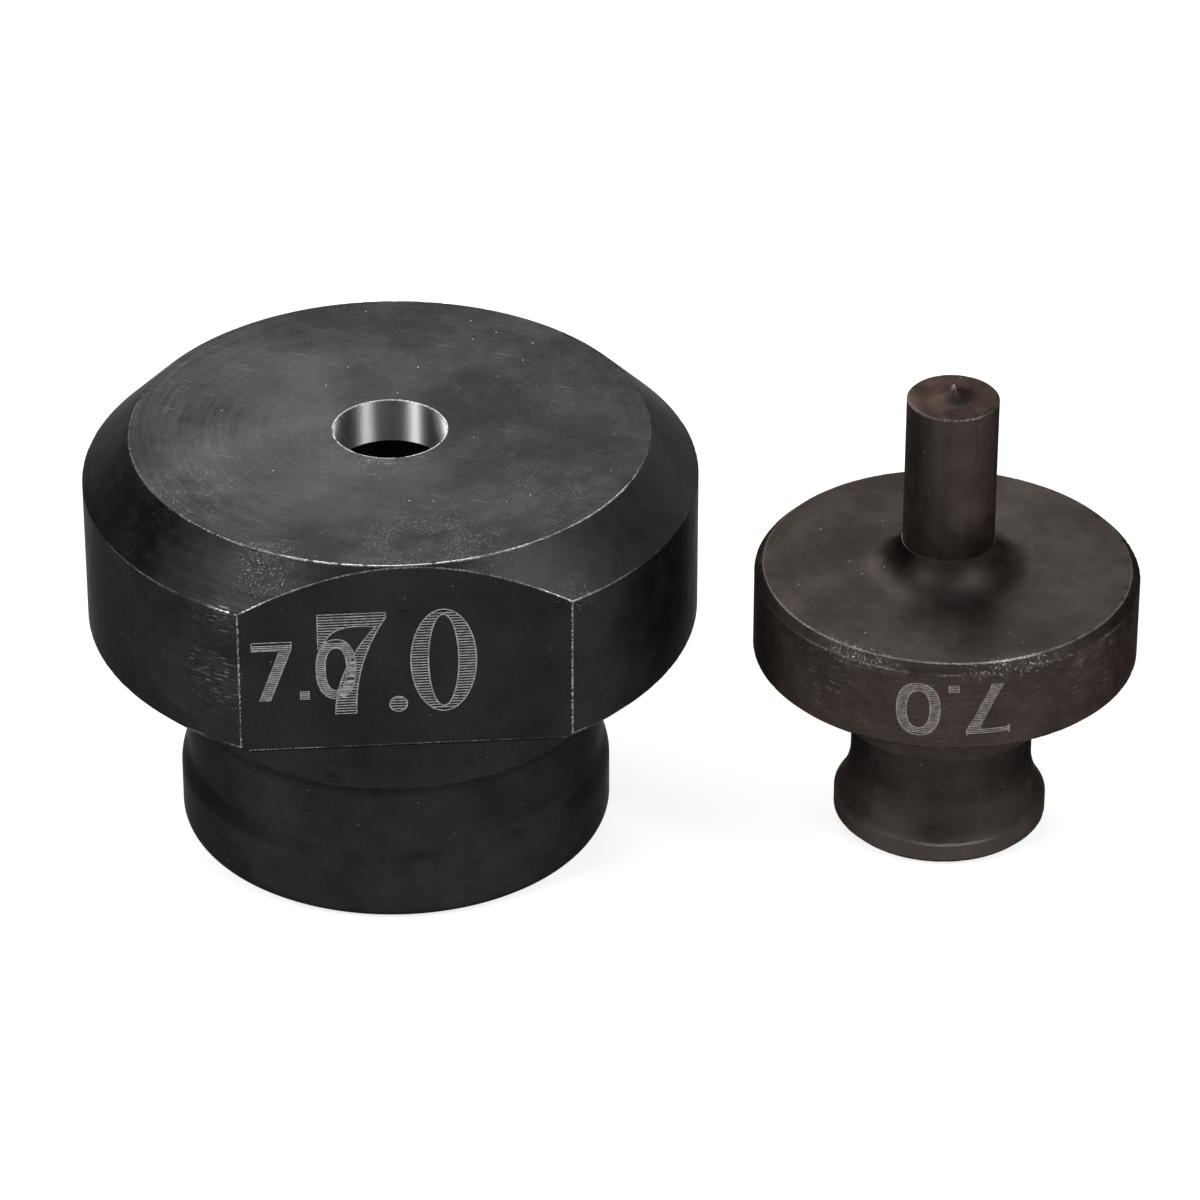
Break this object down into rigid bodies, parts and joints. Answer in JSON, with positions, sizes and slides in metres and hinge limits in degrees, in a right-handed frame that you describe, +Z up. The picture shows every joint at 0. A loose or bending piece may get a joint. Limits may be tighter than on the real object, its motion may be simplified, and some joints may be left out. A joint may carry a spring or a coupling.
{
  "type": "hole punch die set",
  "caption": "Round bevelled die with one flat and a stepped bore, beside its flanged punch with a centring pin, for a portable hydraulic hole punch.",
  "frame": {"origin": "centre of the die's foot, on the plane that both pieces stand on", "axes": "+Z up along the die's axis, towards its cutting face; the die's one flat faces -Y; the punch stands towards +X"},
  "size_m": [0.0688, 0.037, 0.0325],
  "materials": {
    "die_steel": "turned tool steel with a neutral black oxide finish, bright at the worn edges and in the cutting land",
    "punch_steel": "turned tool steel with a warm brown-black oxide finish, bright at the worn edges"
  },
  "bodies": {
    "die_body": {"die": "die_steel"},
    "punch_body": {"punch": "punch_steel"}
  },
  "joints": [
    {"name": "punch_lift", "type": "slide", "parent": "die_body", "child": "punch_body", "axis": [0, 0, 1], "range_m": [0, 0.04]}
  ]
}
